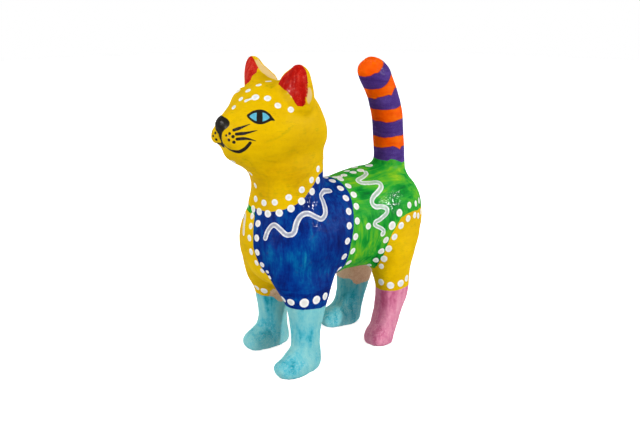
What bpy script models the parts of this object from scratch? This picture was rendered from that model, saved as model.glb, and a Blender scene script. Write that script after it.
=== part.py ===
"""A papier-mache cat ornament that stands on four paws with its tail up.

It is one solid, as the real thing is. Rolls of pasted paper make the trunk, neck, head, legs and tail,
and more paper smooths their joins over. The muzzle, nose and ears are pressed on last. The soles are
flat, so that it stands.

Metres, +Z up. The cat faces -Y and its left side is +X. The origin is on the ground, under the middle
of its bounding box.
"""

import math

import bmesh
import bpy
from mathutils import Matrix, Vector

MM = 0.001

# The paper skin
CAGE_SIDES = 8
CAGE_LEVELS = 3
ROLL_VOXEL = 1.4 * MM
ROLL_SMOOTHING = 34
SKIN_VOXEL = 1.1 * MM
SKIN_SMOOTHING = 5
MOST_TRIANGLES = 9600

# Each ring is (x, y, z, half width, half depth, lean), in millimetres and degrees. A ring lies flat at
# lean 0 and stands upright, across the body, at lean 90. Rings run from rump to chest, from nape to nose
# and from the ground or the root up.
TRUNK = [
    (0, 81.5, 86.5, 6, 8, 90),
    (0, 78, 87.2, 17.4, 19.2, 90),
    (0, 68, 89.5, 26.3, 27.6, 90),
    (0, 54, 90, 31.5, 34.5, 90),
    (0, 35, 88.5, 31, 34.5, 90),
    (0, 15, 87.5, 31, 34.5, 90),
    (0, -5, 87.5, 33.5, 35.5, 90),
    (0, -25, 86.5, 36.5, 36, 90),
    (0, -42, 84.5, 34.5, 32, 90),
    (0, -54, 84, 25, 24.5, 90),
    (0, -60.5, 85, 11, 12, 90),
]
NECK = [
    (0, -27, 84, 30, 27, 0),
    (0, -28.5, 98, 29.5, 27, 0),
    (0, -30, 110, 26, 26, 0),
    (0, -30.6, 121, 23.4, 24, 0),
    (0, -31.5, 130, 23.2, 25, 0),
    (0, -35.5, 138.5, 24.2, 31.5, 0),
    (0, -33, 152, 23, 27, 0),
]
HEAD = [
    (0, -4.5, 156, 8, 9, 90),
    (0, -8.5, 157, 17, 17.5, 90),
    (0, -16, 160.5, 23.5, 23.5, 90),
    (0, -26, 162.8, 27, 27, 90),
    (0, -37, 163.7, 29, 27.8, 90),
    (0, -48, 163.5, 28.8, 27.7, 90),
    (0, -58, 162.4, 26.2, 26.2, 90),
    (0, -66, 160.9, 22.2, 22.4, 90),
    (0, -72.5, 158.6, 17, 15.6, 90),
    (0, -77, 159.8, 12.5, 14, 90),
    (0, -79.5, 159.5, 6.5, 8, 90),
]
FRONT_LEG = [
    (22, -31.5, -4, 10.5, 11, 0),
    (22, -31.5, 10, 10.2, 10.5, 0),
    (22, -31.5, 22, 10.1, 10.1, 0),
    (22, -31.3, 34, 11, 11.5, 0),
    (21, -31, 46, 13.3, 15.2, 0),
    (18.5, -30.5, 57, 15.5, 22.3, 0),
    (15, -29, 72, 17, 28, 0),
    (11, -28, 92, 17.5, 26, 0),
]
HIND_LEG = [
    (22, 34, -4, 10.3, 10.3, 0),
    (22, 36.3, 10, 10.2, 10.6, 0),
    (22, 39.8, 20, 10.1, 10.8, 0),
    (22, 42.6, 28, 10.8, 12.2, 0),
    (22, 44, 36, 11.8, 13.8, 0),
    (21.5, 44.4, 47, 13.4, 15.4, 0),
    (19.5, 45.4, 60, 15.3, 18, 0),
    (16, 49.4, 75, 16.5, 23.8, 0),
    (12, 52.5, 92, 16.5, 22, 0),
]
TAIL = [
    (0, 58, 100, 14, 15, 0),
    (0, 58, 116, 12.5, 13.5, 0),
    (0, 58, 130, 11.7, 11.9, 0),
    (0, 57.3, 146, 11.4, 11.6, 4),
    (0, 54.6, 162, 11.4, 11.6, 14),
    (0, 49.6, 177, 11.4, 11.6, 26),
    (0, 42.5, 188.2, 11.2, 11.4, 42),
    (0, 36.8, 194, 9.5, 9.5, 48),
    (0, 33.3, 197.2, 4.6, 4.6, 50),
]
# An ear's rings dip outward and turn back by these angles.
EAR_DIP = 30
EAR_TURN = 15
EAR = [
    (16.5, -36, 176, 13.5, 12.5, 0),
    (20.2, -36.4, 186, 13.6, 10.8, 0),
    (23.1, -37, 193, 10.9, 8.5, 0),
    (25.4, -37.6, 199, 7.5, 6.2, 0),
    (26.6, -38, 203.8, 3.3, 2.9, 0),
]
MUZZLE = [
    (5, -62, 159, 5, 6, 90),
    (5.8, -67, 159.6, 8.5, 8.5, 90),
    (6.2, -73.5, 160, 8, 8, 90),
    (6, -78.5, 160.2, 6.2, 6.2, 90),
    (5.8, -81.2, 160.2, 2.6, 2.6, 90),
]
NOSE = [
    (0, -69, 168, 4, 3.5, 90),
    (0, -73, 168.6, 6.6, 5.6, 90),
    (0, -78, 168.6, 6.6, 5.4, 90),
    (0, -81.8, 168.2, 4, 3.4, 90),
]
PAW_SPREAD = 22
PAW_AXIS = 4.5
# Half width and half height of a paw along its length, from heel to toe. It reaches below the ground,
# where the sole is cut.
PAW_SHAPE = [
    (0.00, 4.5, 5.0),
    (0.12, 9.0, 9.0),
    (0.35, 10.6, 13.0),
    (0.62, 10.8, 10.0),
    (0.85, 9.8, 7.2),
    (0.97, 6.8, 4.4),
    (1.00, 3.0, 2.5),
]
SHOULDER_HEIGHT = 72

# Where each leg meets the ground, how deep it is against its table, and where its heel and toe stand.
# A leg leans from there to its shoulder.
PAWS = {
    "front_left": dict(side=1, out=2.5, back=-2, girth=1, heel=-23.5, toe=-59),
    "front_right": dict(side=-1, out=0, back=4, girth=1, heel=-16, toe=-53),
    "hind_left": dict(side=1, out=1.5, back=-1, girth=0.91, heel=42, toe=22.5),
    "hind_right": dict(side=-1, out=-1.5, back=2, girth=1.07, heel=49, toe=13),
}

# The painted zones
PAINT = {
    "yellow": (0.80, 0.50, 0.01),
    "blue": (0.01, 0.06, 0.25),
    "green": (0.06, 0.33, 0.05),
    "purple": (0.06, 0.03, 0.16),
    "orange": (0.75, 0.10, 0.01),
    "red": (0.50, 0.02, 0.01),
    "pink": (0.60, 0.24, 0.33),
    "light_blue": (0.12, 0.45, 0.52),
    "black": (0.02, 0.02, 0.015),
    "bare_paper": (0.32, 0.19, 0.10),
}
PAINT_ROUGHNESS = 0.4
SOCK_TOPS = {"front_left": 46, "front_right": 42, "hind_left": 40, "hind_right": 31}
TAIL_ROOT = 127
TAIL_BANDS = (135, 143, 154.5, 163, 171.5, 181, 189)
THIGH_CENTRE = (64, 58.5)
THIGH_RADIUS = 34.5


def ring_points(x, y, z, half_width, half_depth, lean, dip=0, turn=0):
    """Corners of a cage ring whose subdivided curve has the stated half width and half depth."""
    pull_in = (4 + 2 * math.cos(2 * math.pi / CAGE_SIDES)) / 6
    pose = Matrix.Rotation(math.radians(turn), 3, "Z")
    pose = pose @ Matrix.Rotation(math.radians(dip), 3, "Y")
    pose = pose @ Matrix.Rotation(math.radians(lean), 3, "X")
    for i in range(CAGE_SIDES):
        angle = 2 * math.pi * i / CAGE_SIDES
        flat = Vector((half_width * math.cos(angle), half_depth * math.sin(angle), 0)) / pull_in
        yield (Vector((x, y, z)) + pose @ flat) * MM


def loft(name, rings):
    """A closed skin over a run of rings, rounded by Subdivision Surface."""
    bm = bmesh.new()
    loops = [[bm.verts.new(point) for point in ring_points(*ring)] for ring in rings]
    for low, high in zip(loops, loops[1:]):
        for i in range(CAGE_SIDES):
            j = (i + 1) % CAGE_SIDES
            bm.faces.new((low[i], low[j], high[j], high[i]))
    bm.faces.new(loops[0])
    bm.faces.new(loops[-1])
    bmesh.ops.recalc_face_normals(bm, faces=bm.faces)
    mesh = bpy.data.meshes.new(name)
    bm.to_mesh(mesh)
    bm.free()
    obj = bpy.data.objects.new(name, mesh)
    rounding = obj.modifiers.new("rounding", "SUBSURF")
    rounding.levels = rounding.render_levels = CAGE_LEVELS
    return obj


def on_side(rings, side):
    """The rings of a left-hand shape, or of its mirror image where side is -1."""
    return [(side * x, y, z, w, d, lean) for x, y, z, w, d, lean in rings]


def ear_rings(side):
    return [ring + (side * EAR_DIP, side * EAR_TURN) for ring in on_side(EAR, side)]


def leg_rings(rings, side, out, back, girth):
    """A leg set out and back at the ground by this much, and not at all from the shoulder up."""
    leaning = []
    for x, y, z, w, d, lean in rings:
        share = max(0, 1 - z / SHOULDER_HEIGHT)
        leaning.append((side * (x + out * share), y + back * share, z, w, d * girth, lean))
    return leaning


def paw_rings(side, out, heel, toe):
    """Upright rings from heel to toe."""
    x = side * (PAW_SPREAD + out)
    return [(x, heel + (toe - heel) * share, PAW_AXIS, w, h, 90) for share, w, h in PAW_SHAPE]


def evaluated_mesh(obj):
    bpy.context.view_layer.update()
    graph = bpy.context.evaluated_depsgraph_get()
    return bpy.data.meshes.new_from_object(obj.evaluated_get(graph))


def pasted(name, collection, parts, voxel, smoothing):
    """One mesh over all these parts, with the joins smoothed over. It takes the parts' place."""
    bm = bmesh.new()
    for part in parts:
        collection.objects.link(part)
    for part in parts:
        mesh = evaluated_mesh(part)
        bm.from_mesh(mesh)
        bpy.data.objects.remove(part)
        bpy.data.meshes.remove(mesh)
    mesh = bpy.data.meshes.new(name)
    bm.to_mesh(mesh)
    bm.free()
    obj = bpy.data.objects.new(name, mesh)
    paper = obj.modifiers.new("paper", "REMESH")
    paper.mode = "VOXEL"
    paper.voxel_size = voxel
    smooth = obj.modifiers.new("smooth", "SMOOTH")
    smooth.factor = 0.5
    smooth.iterations = smoothing
    return obj


def body_parts():
    parts = [loft("trunk", TRUNK), loft("neck", NECK), loft("head", HEAD), loft("tail", TAIL)]
    for name, paw in PAWS.items():
        side, out = paw["side"], paw["out"]
        leg = FRONT_LEG if name.startswith("front") else HIND_LEG
        parts.append(loft("leg_" + name, leg_rings(leg, side, out, paw["back"], paw["girth"])))
        parts.append(loft("paw_" + name, paw_rings(side, out, paw["heel"], paw["toe"])))
    return parts


def face_parts():
    parts = [loft("nose", NOSE)]
    for side in (1, -1):
        parts.append(loft("ear", ear_rings(side)))
        parts.append(loft("muzzle", on_side(MUZZLE, side)))
    return parts


def thin_out(obj):
    """Fewer triangles, with the flattest places giving up the most. The modifiers are applied."""
    thin = obj.modifiers.new("thin_out", "DECIMATE")
    thin.ratio = 1
    full = evaluated_mesh(obj)
    full.calc_loop_triangles()
    thin.ratio = MOST_TRIANGLES / len(full.loop_triangles)
    bpy.data.meshes.remove(full)
    thinned = evaluated_mesh(obj)
    obj.modifiers.clear()
    obj.data = thinned


def flatten_soles(mesh):
    """Cuts the mesh off at the ground and closes each sole with a fan of triangles round its middle."""
    bm = bmesh.new()
    bm.from_mesh(mesh)
    everything = bm.verts[:] + bm.edges[:] + bm.faces[:]
    cut = bmesh.ops.bisect_plane(
        bm, geom=everything, dist=1e-6, plane_co=(0, 0, 0), plane_no=(0, 0, -1), clear_outer=True
    )
    edges = [item for item in cut["geom_cut"] if isinstance(item, bmesh.types.BMEdge)]
    soles = bmesh.ops.edgeloop_fill(bm, edges=edges)["faces"]
    bmesh.ops.poke(bm, faces=soles)
    bmesh.ops.triangulate(bm, faces=bm.faces)
    bmesh.ops.recalc_face_normals(bm, faces=bm.faces)
    bm.to_mesh(mesh)
    bm.free()


def centre_on_ground(mesh):
    """Puts the origin under the middle of the bounding box."""
    xs = [v.co.x for v in mesh.vertices]
    ys = [v.co.y for v in mesh.vertices]
    mesh.transform(Matrix.Translation((-(min(xs) + max(xs)) / 2, -(min(ys) + max(ys)) / 2, 0)))


def tail_paint(z):
    bands = sum(z > top for top in TAIL_BANDS)
    return "orange" if bands % 2 else "purple"


def leg_paint(x, y, z):
    """The colour of a leg below the belly, or None above its sock and bare patch."""
    left, front = x > 0, y < 5
    name = ("front_" if front else "hind_") + ("left" if left else "right")
    if z < SOCK_TOPS[name]:
        return "pink" if name == "hind_left" else "light_blue"
    inner = abs(x) < 17 if left else x > -25
    return "bare_paper" if inner and z < 55 and not (left and front) else None


def paint_at(x, y, z):
    """The colour of the surface at a point, in millimetres."""
    collar = min(109 + 0.27 * (y + 54) + 0.0103 * (y + 54) ** 2, 133)
    if y > 25 and z > TAIL_ROOT:
        return tail_paint(z)
    if y < -76.5 and abs(x) < 6 and z > 165:
        return "black"
    if z > 180 and abs(x) > 12 and y < -40:
        return "red"
    if y < 15 and z > collar:
        return "yellow"
    if z < 57 and leg_paint(x, y, z):
        return leg_paint(x, y, z)
    if math.hypot(y - THIGH_CENTRE[0], z - THIGH_CENTRE[1]) < THIGH_RADIUS or (y > 55 and z < 92):
        return "yellow" if x > 0 else "blue"
    if y < 2:
        return "blue" if x > 0.385 * (106 - z) else "yellow"
    return "green"


def paint(obj):
    names = list(PAINT)
    for name in names:
        material = bpy.data.materials.new(name)
        material.use_nodes = True
        shader = material.node_tree.nodes["Principled BSDF"]
        shader.inputs["Base Color"].default_value = PAINT[name] + (1,)
        shader.inputs["Roughness"].default_value = PAINT_ROUGHNESS
        shader.inputs["Metallic"].default_value = 0
        obj.data.materials.append(material)
    for face in obj.data.polygons:
        face.material_index = names.index(paint_at(*(face.center / MM)))


def main():
    for obj in list(bpy.data.objects):
        bpy.data.objects.remove(obj)
    ornament = bpy.data.collections.new("papier_mache_cat")
    bpy.context.scene.collection.children.link(ornament)
    rolls = pasted("rolls", ornament, body_parts(), ROLL_VOXEL, ROLL_SMOOTHING)
    cat = pasted("cat", ornament, [rolls] + face_parts(), SKIN_VOXEL, SKIN_SMOOTHING)
    ornament.objects.link(cat)
    thin_out(cat)
    flatten_soles(cat.data)
    centre_on_ground(cat.data)
    paint(cat)
    cat.data.shade_smooth()


main()
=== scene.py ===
"""The looks of a papier-mache cat ornament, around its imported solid.

One piece, painted_cat, keeps the solid's form. Its skin is remeshed, rounded and given the thick and
thin places, the waves and the creases of pasted paper. Every painted border is a signed distance that
the mesh holds in millimetres, positive inside, and the material turns these into coats of paint, one
over another.

Lengths are in millimetres unless a name says otherwise. The cat faces -Y and its left side is +X.
"""

import math

import bpy
import numpy as np
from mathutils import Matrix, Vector, noise
from mathutils.bvhtree import BVHTree


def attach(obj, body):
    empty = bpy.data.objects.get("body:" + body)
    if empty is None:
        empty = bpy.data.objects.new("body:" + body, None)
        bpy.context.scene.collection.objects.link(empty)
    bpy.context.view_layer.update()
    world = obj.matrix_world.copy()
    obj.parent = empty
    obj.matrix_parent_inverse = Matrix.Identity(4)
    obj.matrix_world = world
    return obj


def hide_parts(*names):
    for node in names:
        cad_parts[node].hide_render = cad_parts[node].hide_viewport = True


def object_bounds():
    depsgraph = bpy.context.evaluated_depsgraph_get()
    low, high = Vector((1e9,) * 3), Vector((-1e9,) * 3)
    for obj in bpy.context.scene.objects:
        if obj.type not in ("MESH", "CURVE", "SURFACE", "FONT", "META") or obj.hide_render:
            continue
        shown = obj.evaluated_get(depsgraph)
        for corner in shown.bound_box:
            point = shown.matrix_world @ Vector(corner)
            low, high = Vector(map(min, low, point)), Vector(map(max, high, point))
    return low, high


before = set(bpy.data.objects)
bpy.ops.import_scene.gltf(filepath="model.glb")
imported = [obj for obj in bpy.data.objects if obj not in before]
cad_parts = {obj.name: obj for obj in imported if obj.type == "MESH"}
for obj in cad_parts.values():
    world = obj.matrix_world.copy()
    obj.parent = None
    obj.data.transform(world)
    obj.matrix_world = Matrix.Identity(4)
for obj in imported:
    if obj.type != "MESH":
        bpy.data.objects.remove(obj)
CAD_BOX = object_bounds()

MM = 0.001
TINY = 1e-9
HUGE = 1e9
# A signed distance that is outside every painted area.
FAR_AWAY = -50.0

# ---------------------------------------------------------------- the skin

SKIN_VOXEL = 1.32
WELD_REACH = 0.01
ROUNDING_STEPS = 10
# Each step in is followed by a slightly longer step out, so that the skin doesn't shrink.
ROUNDING_PULLS = (0.5, -0.52)
# A point under this height is on a sole.
SOLE_HEIGHT = 0.08


def triangles_of(mesh):
    mesh.calc_loop_triangles()
    points = np.empty(len(mesh.vertices) * 3)
    mesh.vertices.foreach_get("co", points)
    tris = np.empty(len(mesh.loop_triangles) * 3, np.int32)
    mesh.loop_triangles.foreach_get("vertices", tris)
    return points.reshape(-1, 3) / MM, tris.reshape(-1, 3)


def mesh_of(name, points, tris):
    mesh = bpy.data.meshes.new(name)
    mesh.vertices.add(len(points))
    mesh.vertices.foreach_set("co", (points * MM).ravel().astype(np.float32))
    mesh.loops.add(tris.size)
    mesh.loops.foreach_set("vertex_index", tris.ravel().astype(np.int32))
    mesh.polygons.add(len(tris))
    mesh.polygons.foreach_set("loop_start", np.arange(0, tris.size, 3, dtype=np.int32))
    mesh.polygons.foreach_set("loop_total", np.full(len(tris), 3, np.int32))
    mesh.update(calc_edges=True)
    mesh.validate()
    return mesh


def remeshed(cad):
    """Points and triangles of an even skin over the CAD solid."""
    obj = bpy.data.objects.new("skin", mesh_of("skin", *triangles_of(cad.data)))
    bpy.context.scene.collection.objects.link(obj)
    weld = obj.modifiers.new("weld", "WELD")
    weld.merge_threshold = WELD_REACH * MM
    remesh = obj.modifiers.new("remesh", "REMESH")
    remesh.mode = "VOXEL"
    remesh.voxel_size = SKIN_VOXEL * MM
    bpy.context.view_layer.update()
    mesh = bpy.data.meshes.new_from_object(obj.evaluated_get(bpy.context.evaluated_depsgraph_get()))
    result = triangles_of(mesh)
    bpy.data.objects.remove(obj)
    bpy.data.meshes.remove(mesh)
    return result


def edges_of(tris):
    ends = np.sort(np.concatenate([tris[:, [0, 1]], tris[:, [1, 2]], tris[:, [2, 0]]]), axis=1)
    return np.unique(ends, axis=0, return_inverse=True)


def averaged(values, edges):
    """Each vertex's value replaced by the mean of its neighbours'."""
    total = np.zeros_like(values)
    number = np.zeros(len(values))
    for a, b in (edges.T, edges.T[::-1]):
        np.add.at(total, a, values[b])
        np.add.at(number, a, 1)
    return total / np.maximum(number, 1)[:, None]


def rounded(points, tris):
    edges, _ = edges_of(tris)
    sole = points[:, 2] < SOLE_HEIGHT
    for _ in range(ROUNDING_STEPS):
        for pull in ROUNDING_PULLS:
            points = points + pull * (averaged(points, edges) - points)
        points[sole, 2] = 0
    points[:, 2] = np.maximum(points[:, 2], 0)
    return points


def normals_of(points, tris):
    a, b, c = points[tris[:, 0]], points[tris[:, 1]], points[tris[:, 2]]
    face = np.cross(b - a, c - a)
    normals = np.zeros_like(points)
    for corner in range(3):
        np.add.at(normals, tris[:, corner], face)
    return normals / np.maximum(np.linalg.norm(normals, axis=1), TINY)[:, None]


def refined(points, tris, near):
    """Cuts each triangle side that touches a marked vertex, on the curve that the normals give."""
    edges, index = edges_of(tris)
    split = near[edges].any(axis=1)
    normals = normals_of(points, tris)
    a, b = edges[split].T
    along = points[b] - points[a]
    rise_a = (along * normals[a]).sum(1)[:, None] * normals[a]
    rise_b = (-along * normals[b]).sum(1)[:, None] * normals[b]
    middles = (points[a] + points[b]) / 2 - (rise_a + rise_b) / 8
    number = np.full(len(edges), -1)
    number[split] = len(points) + np.arange(split.sum())
    middle = number[index.reshape(-1)].reshape(3, -1).T
    cuts = (middle >= 0).sum(1)
    # Turns each triangle so that its one cut side, or its one whole side, comes first.
    first = np.where(cuts == 1, (middle >= 0).argmax(1), (middle < 0).argmax(1))
    first[(cuts == 0) | (cuts == 3)] = 0
    turn = (np.arange(3) + first[:, None]) % 3
    t, m = np.take_along_axis(tris, turn, 1), np.take_along_axis(middle, turn, 1)
    A, B, C = t.T
    p, q, r = m.T
    parts = [t[cuts == 0]]
    for want, faces in (
        (1, ((A, p, C), (p, B, C))),
        (2, ((A, B, q), (A, q, r), (r, q, C))),
        (3, ((A, p, r), (p, B, q), (r, q, C), (p, q, r))),
    ):
        pick = cuts == want
        parts += [np.stack([corner[pick] for corner in face], 1) for face in faces]
    return np.vstack([points, middles]), np.vstack(parts)


def wave(points, size, seed):
    """Smooth noise, from about -1 to 1, with humps about this long."""
    shift = Vector((seed * 13.7, seed * 5.1, seed * 9.3))
    return np.array([noise.noise(Vector(p) / size + shift) for p in points])


def step_between(low, high, x):
    t = np.clip((x - low) / (high - low), 0, 1)
    return t * t * (3 - 2 * t)


def bump_at(points, place, reach):
    """A smooth bump that is 1 at the place and fades out over this reach."""
    return np.exp(-((points - place) ** 2).sum(1) / (2 * reach**2))


# Where the paper was wrapped a little thicker or thinner: x, y, z, how far it reaches, how much.
PADS = (
    (-13.4, -67.2, 175.8, 3.5, -1.4), (-13, -70.5, 172, 3, -0.6), (-17, -63.3, 175.6, 4, -0.8),
    (-10, -59, 185.5, 3.5, 1.2), (-3.6, -80.3, 171, 2.5, -0.6), (-3.6, -80.6, 168, 3, 0.7),
    (-6, -80.5, 161.5, 4, 0.3), (-6, -77.5, 151, 3, -1.6), (0.6, -78.3, 151.5, 3.5, -0.8),
    (-7.4, -79.6, 156.4, 3, 1.2), (-10.5, -74.7, 151, 3, -0.4), (-9.8, -73.3, 148.2, 3.5, -0.7),
    (-4.3, -58.7, 134, 3.5, -0.6), (-14.3, -50.2, 119.5, 4.5, -0.6), (-16.5, -50.8, 106.5, 5, 0.5),
    (4.3, -74.3, 145.5, 4.5, -0.8), (-1, -61, 134, 5, -0.5), (-11, -56, 131.5, 5, -1.3),
    (-6.5, -54.6, 124, 5, -1.2), (-8.5, -54, 110, 3.5, 0.5), (16, -13, 171, 6, -1.1),
    (22.5, -16.5, 162, 5, -0.6), (-15.9, -37.6, 200, 3.5, -0.8), (-11.9, -35.7, 195.7, 3.5, -1.2),
    (-24.8, -44, 198.5, 2.5, -0.5), (21, -42, 198.5, 3, -0.8), (24, -41, 202.5, 3, -0.8),
    (28.5, -33, 199, 3.5, 0.8), (-18.8, -52.6, 62, 7, -0.8), (-21.2, -43.5, 43, 6, -0.7),
    (-27.2, -39, 14, 4.5, 0.9), (19.3, -52, 10.6, 4, -2.3), (30.2, -54, 1.5, 4.5, 1.0),
    (33.6, -44.5, 1, 4, 1.6), (20.5, 24.2, 1.5, 3.5, 1.8), (30.3, 27, 1.5, 5, 1.0),
    (-15, 17.8, 1.5, 4, 0.6), (-11.2, 32.6, 1.5, 5, 0.8), (32.7, -27.6, 24, 8, -0.6),
    (14, 35, 40, 5, -0.9), (24.6, 67.5, 94, 7, -1.2), (26.4, 64.8, 77, 5, 0.8),
    (32.9, 52.6, 53.6, 6, -0.9), (32.2, 38.8, 6.3, 5, -0.5), (-3, 6, 122.2, 5, -1),
    (-10, 5, 120.5, 6, -1.4), (-11.3, 14, 119.3, 4.5, -1), (-10.6, 18.6, 120.2, 4, -0.6),
    (-6, 33, 121.7, 5, 0.7), (17, 29, 58, 4.5, 1.3), (16, 9, 57.5, 6, -1.4), (21, -3, 59.5, 5, -0.7),
    (16, -46, 46, 6, -0.9), (13, -51, 56, 5, -0.7), (-2.5, 46.6, 131, 6, -0.3),
    (10.8, 63.3, 124, 4, -0.4), (-14.6, -29, 190.8, 2.5, 0.8), (-18, -55.5, 76, 5, 0.6),
    (-26, -41, 40, 6, -0.5), (16.7, -48.6, 7.5, 3.5, -0.5), (18, -54.6, 5.6, 3.5, -0.6),
    (32.2, -54, 0.5, 4, 0.7), (33.8, -50.3, 0.5, 3.5, 0.6), (-11.4, 36.6, 0.5, 3.5, 0.7),
    (25.5, 23.5, 0.5, 3.5, 0.8), (-16, -46.3, 0.5, 3.5, 0.6), (6.8, 62.5, 162, 6, 0.5),
    (7.3, 68, 120, 4, -0.6), (17.3, 75.5, 91, 6, -0.5), (30, 57, 58, 5, -0.45),
    (30.4, 54.2, 46.5, 6, -0.5), (-4.5, 35.9, 197, 3, -0.5), (-7.6, 49.5, 127.5, 4, -0.8),
    (-4, 33.5, 193.5, 4, 0.5), (2, 36, 198, 4.5, -1), (8.3, 49, 190.5, 4.5, 0.6),
)
# The ears' inner slopes, a little lower than the solid's: place, how far it reaches, which way and how
# far it moves.
NUDGES = (
    ((-20.6, -37.3, 203.2), 3, (-1.3, 0, -1.2)), ((-17.3, -35.8, 200.5), 3.2, (-1.2, 0, -1.3)),
    ((-21.5, -31.7, 198.5), 3.5, (-0.7, 0, -1)), ((-13.2, -34, 196), 3.2, (-0.8, 0, -0.9)),
    ((20.5, -41.5, 200.5), 3, (0.8, 0, -0.7)),
)
# The tail is wrapped thinner all round, fading in and out between these heights.
TAIL_PAD = -0.5
TAIL_PAD_START = (118, 132)
TAIL_PAD_END = (178, 192)
TAIL_PAD_FRONT = 20


def padded(points, tris):
    normals = normals_of(points, tris)
    low = points[:, 2] < SOLE_HEIGHT
    normals[low, 2] = 0
    _, y, z = points.T
    move = TAIL_PAD * step_between(*TAIL_PAD_START, z) * (1 - step_between(*TAIL_PAD_END, z))
    move *= y > TAIL_PAD_FRONT
    for *place, reach, amount in PADS:
        move += amount * bump_at(points, place, reach)
    points = points + normals * move[:, None]
    for place, reach, way in NUDGES:
        points += bump_at(points, place, reach)[:, None] * way
    points[low, 2] = 0
    points[:, 2] = np.maximum(points[:, 2], 0)
    return points


# ---------------------------------------------------------------- places on the skin


def curve_part(p0, p1, p2, p3, steps):
    """Points of a smooth curve through four places, from the second one up to the third."""
    return [
        0.5 * (2 * p1 + (p2 - p0) * t + (2 * p0 - 5 * p1 + 4 * p2 - p3) * t * t
               + (3 * p1 - p0 - 3 * p2 + p3) * t**3)
        for t in (i / steps for i in range(steps))
    ]


def smooth_loop(corners, steps=6):
    """A smooth closed curve through flat corners."""
    corners = [np.array(c, float) for c in corners]
    turned = (corners[k:] + corners[:k] for k in (-1, 0, 1, 2))
    return [p for four in zip(*turned) for p in curve_part(*four, steps)]


class Surface:
    """The rounded skin, for finding where a brush touches it."""

    def __init__(self, points, tris):
        self.tree = BVHTree.FromPolygons([tuple(p) for p in points], [tuple(t) for t in tris])

    def nearest(self, place):
        return np.array(self.tree.find_nearest(Vector(place))[0])

    def facing(self, place, outward, reach):
        """The point met on the way in to a place, from outside it in this direction."""
        direction = Vector(outward).normalized()
        hit = self.tree.ray_cast(Vector(place) + direction * reach, -direction)[0]
        return np.array(hit) if hit is not None else self.nearest(place)

    def line(self, places, steps=8):
        """A smooth curve through these places, laid on the skin."""
        places = [np.array(p, float) for p in places]
        ends = [2 * places[0] - places[1]] + places + [2 * places[-1] - places[-2]]
        curve = []
        for four in zip(ends, ends[1:], ends[2:], ends[3:]):
            curve += curve_part(*four, steps)
        return np.array([self.nearest(p) for p in curve + [places[-1]]])


def away_from(points, a, b):
    """How far along a segment each point is, 0 to 1, and its distance from it."""
    along = b - a
    t = np.clip((points - a) @ along / max(along @ along, TINY), 0, 1)
    return t, np.linalg.norm(points - a - t[:, None] * along, axis=1)


def inside_polygon(flat, corners):
    """Signed distance of flat points to a closed polygon, positive inside."""
    corners = np.array(corners, float)
    nearest = np.full(len(flat), HUGE)
    inside = np.zeros(len(flat), bool)
    for a, b in zip(corners, np.roll(corners, -1, axis=0)):
        nearest = np.minimum(nearest, away_from(flat, a, b)[1])
        run, rise = b - a
        crosses = (a[1] > flat[:, 1]) != (b[1] > flat[:, 1])
        inside ^= crosses & (flat[:, 0] < a[0] + (flat[:, 1] - a[1]) * run / (rise or TINY))
    return np.where(inside, nearest, -nearest)


def only(mine, field):
    """A field that holds for some points and is far outside for the others."""
    return np.where(mine, field, FAR_AWAY)


class Layer:
    """Paint on a skin. inside is each point's signed distance to its edge, positive inside. core is how
    far out in its dab or stroke a point is: 0 in the middle, 1 at the edge and more beyond it."""

    # A dab's or stroke's distances are worked out this far past its edge.
    MARGIN = 4

    def __init__(self, skin, points):
        self.skin = skin
        self.points = points
        self.inside = np.full(len(points), FAR_AWAY)
        self.core = np.ones(len(points))

    def near(self, places, reach):
        """Indices of the points in the box round these places, with this reach and the margin added."""
        reach += self.MARGIN
        low, high = np.min(places, axis=0) - reach, np.max(places, axis=0) + reach
        return np.flatnonzero(((self.points > low) & (self.points < high)).all(1))

    def lay(self, near, inside, core):
        better = inside > self.inside[near]
        self.inside[near[better]] = inside[better]
        self.core[near[better]] = core[better]

    def cover(self, inside):
        self.inside = np.maximum(self.inside, inside)

    def dot(self, place, radius, outward=None, reach=60):
        """A round dab on the skin nearest a place, or where the skin faces outward from it."""
        place = self.skin.facing(place, outward, reach) if outward else self.skin.nearest(place)
        near = self.near([place], radius)
        away = np.linalg.norm(self.points[near] - place, axis=1)
        self.lay(near, radius - away, away / radius)

    def stroke(self, places, widths):
        """A brush stroke. widths are half widths, spread evenly from its start to its end."""
        line = self.skin.line(places)
        half = np.interp(np.linspace(0, 1, len(line)), np.linspace(0, 1, len(widths)), widths)
        near = self.near(line, max(widths))
        best = np.full(len(near), FAR_AWAY)
        core = np.ones(len(near))
        for a, b, wide_a, wide_b in zip(line, line[1:], half, half[1:]):
            t, away = away_from(self.points[near], a, b)
            width = wide_a + (wide_b - wide_a) * t
            better = width - away > best
            best[better] = (width - away)[better]
            core[better] = (away / width)[better]
        self.lay(near, best, core)


# ---------------------------------------------------------------- painted borders

# Each border is a pair of rows: where along it, and where across.
NECK_Y = -29.5
# Angle round the neck from the throat, against height. The border leans, so that its distance is less
# than the height over it.
COLLAR = (
    (0, 17, 30, 49, 67, 82, 96, 117, 180),
    (109.6, 109.6, 110, 112, 115, 119, 124.5, 131, 133),
)
COLLAR_LEAN = 0.85
# The head ends at this y, or at the nape's y under the nape's height.
HEAD_BACK = 26
NAPE_Y = 12
NAPE_Z = 150
# Height, against x, down the chest and the left leg's front.
CHEST = (
    (46, 60, 66, 69.5, 74.5, 82, 85, 93, 98.5, 102.5, 106.5, 109.5),
    (17, 15.5, 13.5, 11.4, 8, 4.7, 3.3, 2.8, 1.9, 0.6, -0.4, -0.8),
)
# The blue goes this far over the spine. Between these it changes over from the chest's border.
SPINE_LAP = 4
CHEST_FADE = (-40, -15)
# Angle round the trunk from its side to its spine, against y.
TRUNK_Z = 88
SADDLE = (
    (-90, -50, -26, -8, 8, 21, 36, 51, 68, 82, 90),
    (0, -1.9, -3, -2.1, 0, 1.9, 3.8, 5.5, 5.1, 3.2, 2.5),
)
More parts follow.
